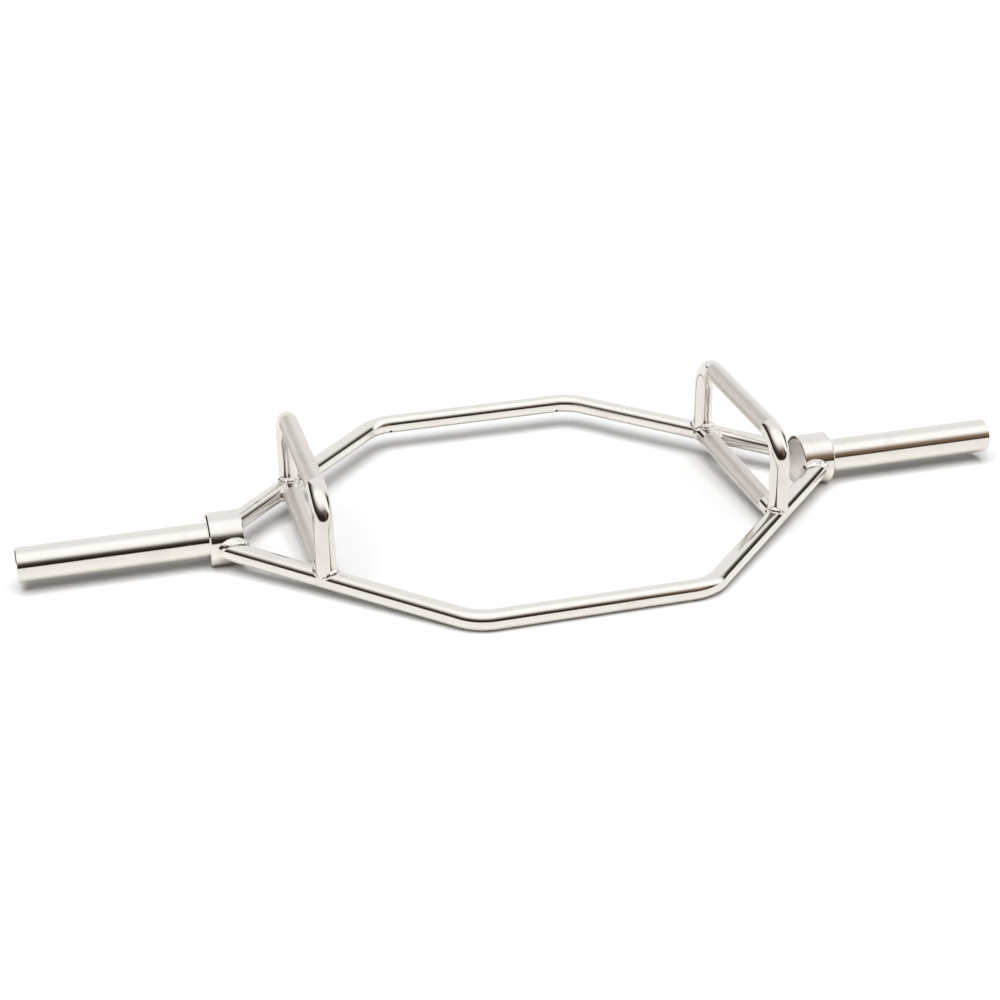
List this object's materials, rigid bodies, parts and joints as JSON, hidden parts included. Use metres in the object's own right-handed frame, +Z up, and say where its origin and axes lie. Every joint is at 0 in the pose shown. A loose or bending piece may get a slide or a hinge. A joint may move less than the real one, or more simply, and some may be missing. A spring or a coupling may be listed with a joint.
{
  "type": "hex trap bar",
  "caption": "Hexagonal welded tube lifting frame to stand inside, with plate sleeves at the ends and low and raised knurled handles at the sides, for deadlifts and shrugs.",
  "frame": {"origin": "centre of the bar's footprint, on the floor that its collars stand on", "axes": "+X along the sleeves to the right, +Y from the front run to the rear run, +Z up to the raised grips"},
  "size_m": [1.46, 0.674, 0.165],
  "materials": {
    "frame_chrome": "bright chrome plate",
    "sleeve_chrome": "bright chrome plate",
    "collar_chrome": "bright chrome plate",
    "disc_chrome": "satin chrome plate",
    "cap_steel": "satin chrome plate",
    "handle_chrome": "bright chrome plate, knurled on the grips",
    "weld_chrome": "chrome plate over a rippled weld"
  },
  "bodies": {
    "root": {"front_frame_bar": "frame_chrome", "rear_frame_bar": "frame_chrome", "left_sleeve": "sleeve_chrome", "left_sleeve_cap": "cap_steel", "left_collar": "collar_chrome", "left_collar_disc": "disc_chrome", "left_lower_handle": "handle_chrome", "left_raised_handle": "handle_chrome", "front_left_leg_weld": "weld_chrome", "front_left_lower_weld": "weld_chrome", "front_left_collar_weld": "weld_chrome", "rear_left_leg_weld": "weld_chrome", "rear_left_lower_weld": "weld_chrome", "rear_left_collar_weld": "weld_chrome", "right_sleeve": "sleeve_chrome", "right_sleeve_cap": "cap_steel", "right_collar": "collar_chrome", "right_collar_disc": "disc_chrome", "right_lower_handle": "handle_chrome", "right_raised_handle": "handle_chrome", "front_right_leg_weld": "weld_chrome", "front_right_lower_weld": "weld_chrome", "front_right_collar_weld": "weld_chrome", "rear_right_leg_weld": "weld_chrome", "rear_right_lower_weld": "weld_chrome", "rear_right_collar_weld": "weld_chrome"}
  },
  "joints": []
}
